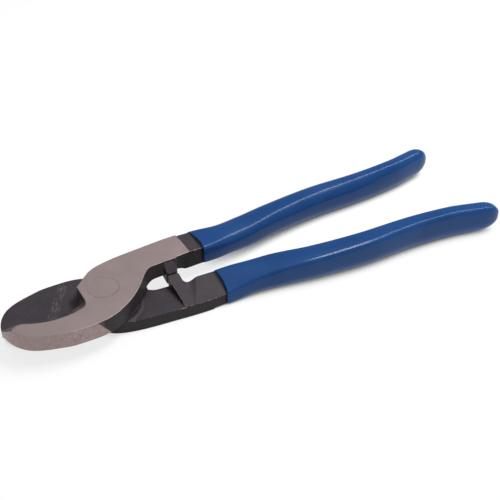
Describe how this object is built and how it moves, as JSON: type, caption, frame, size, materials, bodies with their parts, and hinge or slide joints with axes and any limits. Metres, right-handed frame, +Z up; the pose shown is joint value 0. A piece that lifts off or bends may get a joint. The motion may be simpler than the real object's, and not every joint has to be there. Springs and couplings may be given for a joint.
{
  "type": "cable cutter",
  "caption": "Hand cable cutter with crossed lap-jointed halves, hooked shear jaws, a riveted pivot and dip-coated grips.",
  "frame": {"origin": "on the pivot axis, in the plane of the lower ground face, on which the tool lies", "axes": "+X from the pivot towards the handle ends, along the middle of the tool; +Z up, along the pivot axis; +Y towards the upper half's handle"},
  "size_m": [0.2371, 0.0656, 0.0155],
  "materials": {
    "forged_steel": "ground bright on the outer faces and jaw spine, black oxide elsewhere",
    "rivet_steel": "ground flush with the faces",
    "dipped_grip": "glossy dipped vinyl"
  },
  "bodies": {
    "lower_half": {"lower_forging": "forged_steel", "pivot_rivet": "rivet_steel", "lower_grip": "dipped_grip"},
    "upper_half": {"upper_forging": "forged_steel", "upper_grip": "dipped_grip"}
  },
  "joints": [
    {"name": "jaw_pivot", "type": "hinge", "parent": "lower_half", "child": "upper_half", "pos_m": [0, 0, 0.00775], "axis": [0, 0, 1], "range_deg": [0, 50]}
  ]
}
